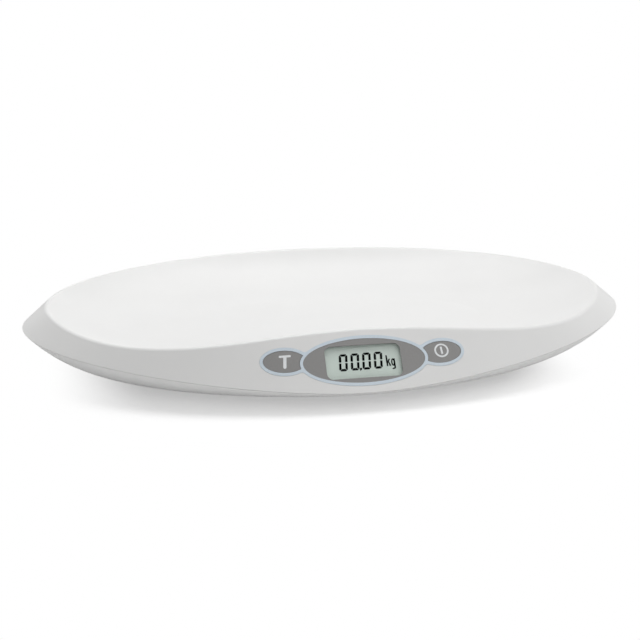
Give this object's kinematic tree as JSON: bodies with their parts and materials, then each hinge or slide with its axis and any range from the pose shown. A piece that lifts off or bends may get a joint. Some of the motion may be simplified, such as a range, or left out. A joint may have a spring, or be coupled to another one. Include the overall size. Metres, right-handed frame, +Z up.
{
  "type": "digital baby scale",
  "caption": "Boat-shaped glossy tray on a shallow tub with load-cell feet; display and two soft keys sit on the front apron, battery bay underneath.",
  "frame": {"origin": "on the surface the scale stands on, below the middle of its outline", "axes": "+X along the tray, seen from the front to the right; -Y towards the side with the display; +Z up"},
  "size_m": [0.6198, 0.3748, 0.0701],
  "materials": {
    "tray": "glossy white moulding",
    "tub": "glossy white moulding",
    "trim": "satin light blue",
    "panel": "fine satin grey",
    "lens": "clear acrylic",
    "cell_glass": "liquid crystal cell",
    "inner_plastic": "matte black moulding",
    "socket": "matte natural moulding",
    "strip_rubber": "soft silicone",
    "board": "green board",
    "steel": "bright steel",
    "gauge": "soft sealing compound",
    "lead": "flexible lead",
    "battery_case": "plain dark jacket",
    "foot_plastic": "matte light grey moulding",
    "pad_rubber": "soft dark grey rubber"
  },
  "bodies": {
    "scale": {"base_shell": "tub", "battery_1": "battery_case", "battery_2": "battery_case", "battery_3": "battery_case", "battery_4": "battery_case", "battery_lead": "lead", "battery_plates": "steel", "battery_springs": "steel", "board_components": "inner_plastic", "board_screws": "steel", "cell_lead_1": "lead", "cell_lead_2": "lead", "cell_lead_3": "lead", "cell_lead_4": "lead", "contact_strip": "strip_rubber", "controller_chip": "inner_plastic", "display_board": "board", "display_cell": "cell_glass", "display_fascia": "panel", "display_holder": "inner_plastic", "display_lens": "lens", "foot_1": "foot_plastic", "foot_2": "foot_plastic", "foot_3": "foot_plastic", "foot_4": "foot_plastic", "foot_pad_1": "pad_rubber", "foot_pad_2": "pad_rubber", "foot_pad_3": "pad_rubber", "foot_pad_4": "pad_rubber", "housing_screws": "steel", "lead_sockets": "socket", "load_bracket_1": "foot_plastic", "load_bracket_2": "foot_plastic", "load_bracket_3": "foot_plastic", "load_bracket_4": "foot_plastic", "load_cell_1": "steel", "load_cell_2": "steel", "load_cell_3": "steel", "load_cell_4": "steel", "panel_trim": "trim", "power_switch": "inner_plastic", "strain_gauges": "gauge", "tare_switch": "inner_plastic", "tray_shell": "tray"},
    "tare_key": {"tare_button": "panel", "tare_plunger": "inner_plastic"},
    "power_key": {"power_button": "panel", "power_plunger": "inner_plastic"},
    "battery_door": {"battery_lid": "tub"}
  },
  "joints": [
    {"name": "tare_press", "type": "slide", "parent": "scale", "child": "tare_key", "axis": [0, 0.8007, -0.599], "range_m": [0, 0.0006], "stiffness_N_per_m": 3200},
    {"name": "power_press", "type": "slide", "parent": "scale", "child": "power_key", "axis": [0, 0.8007, -0.599], "range_m": [0, 0.0006], "stiffness_N_per_m": 3200},
    {"name": "battery_lid_hinge", "type": "hinge", "parent": "scale", "child": "battery_door", "pos_m": [0, 0.0306, 0.0085], "axis": [1, 0, 0], "range_deg": [0, 50]}
  ]
}
